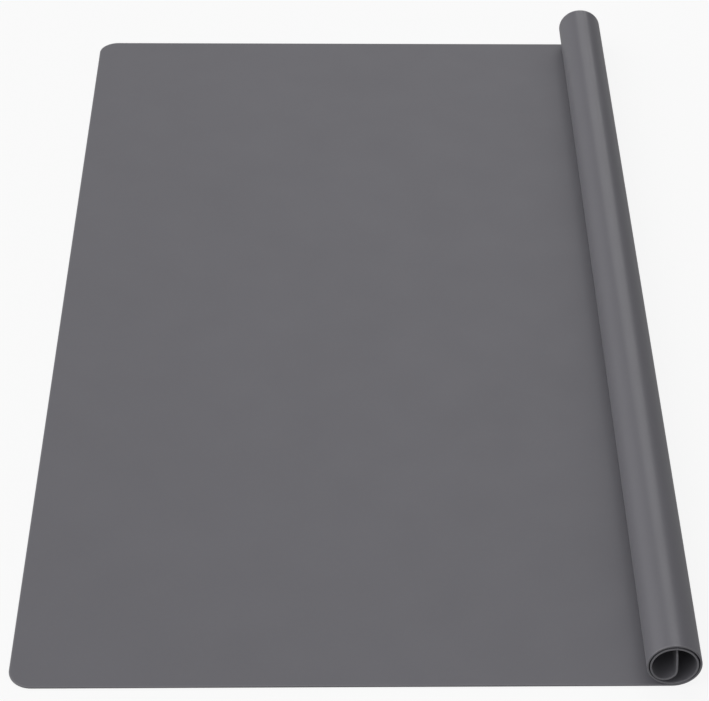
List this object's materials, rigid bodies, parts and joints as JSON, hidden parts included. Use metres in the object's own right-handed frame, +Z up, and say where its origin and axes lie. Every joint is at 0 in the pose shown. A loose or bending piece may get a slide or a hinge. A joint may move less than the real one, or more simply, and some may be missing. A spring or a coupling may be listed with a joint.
{
  "type": "silicone counter mat",
  "caption": "Thin grey silicone counter mat with rounded corners, lying flat with one long side rolled up over it; the roll opens until the whole sheet lies flat.",
  "frame": {"origin": "middle of the open flat field's underside, on the surface the mat lies on", "axes": "+Z up, out of the mat's working side; +Y along the roll and the mat's long side; +X across the mat, from the open edge towards the roll"},
  "size_m": [0.3399, 0.6, 0.0279],
  "materials": {
    "silicone": "satin matte, dark grey, moulded silicone"
  },
  "bodies": {
    "field": {"flat_field": "silicone", "under_roll": "silicone"},
    "outer_turn_01": {"outer_turn_01": "silicone"},
    "outer_turn_02": {"outer_turn_02": "silicone"},
    "outer_turn_03": {"outer_turn_03": "silicone"},
    "outer_turn_04": {"outer_turn_04": "silicone"},
    "outer_turn_05": {"outer_turn_05": "silicone"},
    "outer_turn_06": {"outer_turn_06": "silicone"},
    "outer_turn_07": {"outer_turn_07": "silicone"},
    "outer_turn_08": {"outer_turn_08": "silicone"},
    "outer_turn_09": {"outer_turn_09": "silicone"},
    "outer_turn_10": {"outer_turn_10": "silicone"},
    "outer_turn_11": {"outer_turn_11": "silicone"},
    "outer_turn_12": {"outer_turn_12": "silicone"},
    "second_turn_01": {"second_turn_01": "silicone"},
    "second_turn_02": {"second_turn_02": "silicone"},
    "second_turn_03": {"second_turn_03": "silicone"},
    "second_turn_04": {"second_turn_04": "silicone"},
    "second_turn_05": {"second_turn_05": "silicone"},
    "second_turn_06": {"second_turn_06": "silicone"},
    "second_turn_07": {"second_turn_07": "silicone"},
    "second_turn_08": {"second_turn_08": "silicone"},
    "second_turn_09": {"second_turn_09": "silicone"},
    "second_turn_10": {"second_turn_10": "silicone"},
    "inner_curl_01": {"inner_curl_01": "silicone"},
    "inner_curl_02": {"inner_curl_02": "silicone"},
    "inner_curl_03": {"inner_curl_03": "silicone"},
    "inner_curl_04": {"inner_curl_04": "silicone"},
    "free_edge": {"free_edge": "silicone"}
  },
  "joints": [
    {"name": "unroll", "type": "hinge", "parent": "field", "child": "outer_turn_01", "pos_m": [0.16997, 0, 0.0005], "axis": [0, 1, 0], "range_deg": [0, 11.21]},
    {"name": "bend_outer_02", "type": "hinge", "parent": "outer_turn_01", "child": "outer_turn_02", "pos_m": [0.17682, 0, 0.00233], "axis": [0, 1, 0], "range_deg": [0, 33.78]},
    {"name": "bend_outer_03", "type": "hinge", "parent": "outer_turn_02", "child": "outer_turn_03", "pos_m": [0.1818, 0, 0.00731], "axis": [0, 1, 0], "range_deg": [0, 30]},
    {"name": "bend_outer_04", "type": "hinge", "parent": "outer_turn_03", "child": "outer_turn_04", "pos_m": [0.18361, 0, 0.01407], "axis": [0, 1, 0], "range_deg": [0, 30]},
    {"name": "bend_outer_05", "type": "hinge", "parent": "outer_turn_04", "child": "outer_turn_05", "pos_m": [0.18182, 0, 0.02077], "axis": [0, 1, 0], "range_deg": [0, 30]},
    {"name": "bend_outer_06", "type": "hinge", "parent": "outer_turn_05", "child": "outer_turn_06", "pos_m": [0.17694, 0, 0.02565], "axis": [0, 1, 0], "range_deg": [0, 30]},
    {"name": "bend_outer_07", "type": "hinge", "parent": "outer_turn_06", "child": "outer_turn_07", "pos_m": [0.17033, 0, 0.02743], "axis": [0, 1, 0], "range_deg": [0, 30]},
    {"name": "bend_outer_08", "type": "hinge", "parent": "outer_turn_07", "child": "outer_turn_08", "pos_m": [0.16377, 0, 0.02567], "axis": [0, 1, 0], "range_deg": [0, 30]},
    {"name": "bend_outer_09", "type": "hinge", "parent": "outer_turn_08", "child": "outer_turn_09", "pos_m": [0.159, 0, 0.0209], "axis": [0, 1, 0], "range_deg": [0, 30]},
    {"name": "bend_outer_10", "type": "hinge", "parent": "outer_turn_09", "child": "outer_turn_10", "pos_m": [0.15726, 0, 0.01443], "axis": [0, 1, 0], "range_deg": [0, 30]},
    {"name": "bend_outer_11", "type": "hinge", "parent": "outer_turn_10", "child": "outer_turn_11", "pos_m": [0.15898, 0, 0.00801], "axis": [0, 1, 0], "range_deg": [0, 30]},
    {"name": "bend_outer_12", "type": "hinge", "parent": "outer_turn_11", "child": "outer_turn_12", "pos_m": [0.16364, 0, 0.00335], "axis": [0, 1, 0], "range_deg": [0, 30]},
    {"name": "bend_second_01", "type": "hinge", "parent": "outer_turn_12", "child": "second_turn_01", "pos_m": [0.16997, 0, 0.00165], "axis": [0, 1, 0], "range_deg": [0, 30.6]},
    {"name": "bend_second_02", "type": "hinge", "parent": "second_turn_01", "child": "second_turn_02", "pos_m": [0.17624, 0, 0.0034], "axis": [0, 1, 0], "range_deg": [0, 31.2]},
    {"name": "bend_second_03", "type": "hinge", "parent": "second_turn_02", "child": "second_turn_03", "pos_m": [0.18066, 0, 0.0081], "axis": [0, 1, 0], "range_deg": [0, 31.2]},
    {"name": "bend_second_04", "type": "hinge", "parent": "second_turn_03", "child": "second_turn_04", "pos_m": [0.18199, 0, 0.01436], "axis": [0, 1, 0], "range_deg": [0, 31.2]},
    {"name": "bend_second_05", "type": "hinge", "parent": "second_turn_04", "child": "second_turn_05", "pos_m": [0.17991, 0, 0.02036], "axis": [0, 1, 0], "range_deg": [0, 31.2]},
    {"name": "bend_second_06", "type": "hinge", "parent": "second_turn_05", "child": "second_turn_06", "pos_m": [0.17506, 0, 0.02437], "axis": [0, 1, 0], "range_deg": [0, 31.2]},
    {"name": "bend_second_07", "type": "hinge", "parent": "second_turn_06", "child": "second_turn_07", "pos_m": [0.16888, 0, 0.02528], "axis": [0, 1, 0], "range_deg": [0, 31.2]},
    {"name": "bend_second_08", "type": "hinge", "parent": "second_turn_07", "child": "second_turn_08", "pos_m": [0.16318, 0, 0.02289], "axis": [0, 1, 0], "range_deg": [0, 31.2]},
    {"name": "bend_second_09", "type": "hinge", "parent": "second_turn_08", "child": "second_turn_09", "pos_m": [0.15957, 0, 0.01793], "axis": [0, 1, 0], "range_deg": [0, 31.2]},
    {"name": "bend_second_10", "type": "hinge", "parent": "second_turn_09", "child": "second_turn_10", "pos_m": [0.15906, 0, 0.01187], "axis": [0, 1, 0], "range_deg": [0, 31.2]},
    {"name": "bend_inner_curl_01", "type": "hinge", "parent": "second_turn_10", "child": "inner_curl_01", "pos_m": [0.16174, 0, 0.00647], "axis": [0, 1, 0], "range_deg": [0, 32.87]},
    {"name": "bend_inner_curl_02", "type": "hinge", "parent": "inner_curl_01", "child": "inner_curl_02", "pos_m": [0.1647, 0, 0.00471], "axis": [0, 1, 0], "range_deg": [0, 34.5]},
    {"name": "bend_inner_curl_03", "type": "hinge", "parent": "inner_curl_02", "child": "inner_curl_03", "pos_m": [0.16813, 0, 0.00494], "axis": [0, 1, 0], "range_deg": [0, 34.5]},
    {"name": "bend_inner_curl_04", "type": "hinge", "parent": "inner_curl_03", "child": "inner_curl_04", "pos_m": [0.17083, 0, 0.00707], "axis": [0, 1, 0], "range_deg": [0, 34.5]},
    {"name": "bend_free_edge", "type": "hinge", "parent": "inner_curl_04", "child": "free_edge", "pos_m": [0.17185, 0, 0.01035], "axis": [0, 1, 0], "range_deg": [0, 19.25]}
  ],
  "couplings": [
    {"joint": "bend_outer_02", "follows": "unroll", "ratio": 3.0145},
    {"joint": "bend_outer_03", "follows": "unroll", "ratio": 2.6774},
    {"joint": "bend_outer_04", "follows": "unroll", "ratio": 2.6774},
    {"joint": "bend_outer_05", "follows": "unroll", "ratio": 2.6774},
    {"joint": "bend_outer_06", "follows": "unroll", "ratio": 2.6774},
    {"joint": "bend_outer_07", "follows": "unroll", "ratio": 2.6774},
    {"joint": "bend_outer_08", "follows": "unroll", "ratio": 2.6774},
    {"joint": "bend_outer_09", "follows": "unroll", "ratio": 2.6774},
    {"joint": "bend_outer_10", "follows": "unroll", "ratio": 2.6774},
    {"joint": "bend_outer_11", "follows": "unroll", "ratio": 2.6774},
    {"joint": "bend_outer_12", "follows": "unroll", "ratio": 2.6774},
    {"joint": "bend_second_01", "follows": "unroll", "ratio": 2.7307},
    {"joint": "bend_second_02", "follows": "unroll", "ratio": 2.7845},
    {"joint": "bend_second_03", "follows": "unroll", "ratio": 2.7845},
    {"joint": "bend_second_04", "follows": "unroll", "ratio": 2.7845},
    {"joint": "bend_second_05", "follows": "unroll", "ratio": 2.7845},
    {"joint": "bend_second_06", "follows": "unroll", "ratio": 2.7845},
    {"joint": "bend_second_07", "follows": "unroll", "ratio": 2.7845},
    {"joint": "bend_second_08", "follows": "unroll", "ratio": 2.7845},
    {"joint": "bend_second_09", "follows": "unroll", "ratio": 2.7845},
    {"joint": "bend_second_10", "follows": "unroll", "ratio": 2.7845},
    {"joint": "bend_inner_curl_01", "follows": "unroll", "ratio": 2.9338},
    {"joint": "bend_inner_curl_02", "follows": "unroll", "ratio": 3.079},
    {"joint": "bend_inner_curl_03", "follows": "unroll", "ratio": 3.079},
    {"joint": "bend_inner_curl_04", "follows": "unroll", "ratio": 3.079},
    {"joint": "bend_free_edge", "follows": "unroll", "ratio": 1.718}
  ]
}
